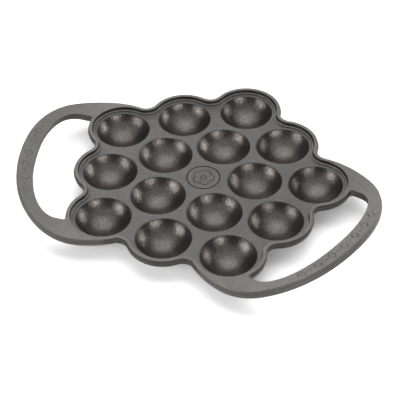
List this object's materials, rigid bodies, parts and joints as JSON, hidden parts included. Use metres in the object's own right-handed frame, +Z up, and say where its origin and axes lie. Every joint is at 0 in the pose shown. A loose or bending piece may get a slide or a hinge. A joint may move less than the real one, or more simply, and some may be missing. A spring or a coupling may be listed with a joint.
{
  "type": "poffertjes pan",
  "caption": "Cast-iron pan with round wells for baking small pancakes, a raised scalloped border and looped side handles that tilt up.",
  "frame": {"origin": "under the middle of the pan, handles included, on the surface that the wells stand on", "axes": "+X to the right along the line from handle to handle, +Y towards the single back well, +Z up"},
  "size_m": [0.3038, 0.2346, 0.0361],
  "materials": {
    "deck_iron": "satin seasoned cast surface with fine grain",
    "border_iron": "satin seasoned cast surface with fine grain",
    "centre_iron": "satin seasoned cast surface with fine grain",
    "handle_iron": "satin seasoned cast surface with fine grain",
    "well_iron": "darker satin seasoned cast surface with a soft sheen"
  },
  "bodies": {
    "root": {"deck_plate": "deck_iron", "rim_border": "border_iron", "center_medallion": "centre_iron", "handle_left": "handle_iron", "handle_right": "handle_iron", "well_cup_01": "well_iron", "well_cup_02": "well_iron", "well_cup_03": "well_iron", "well_cup_04": "well_iron", "well_cup_05": "well_iron", "well_cup_06": "well_iron", "well_cup_07": "well_iron", "well_cup_08": "well_iron", "well_cup_09": "well_iron", "well_cup_10": "well_iron", "well_cup_11": "well_iron", "well_cup_12": "well_iron", "well_cup_13": "well_iron", "well_cup_14": "well_iron", "well_cup_15": "well_iron"}
  },
  "joints": []
}
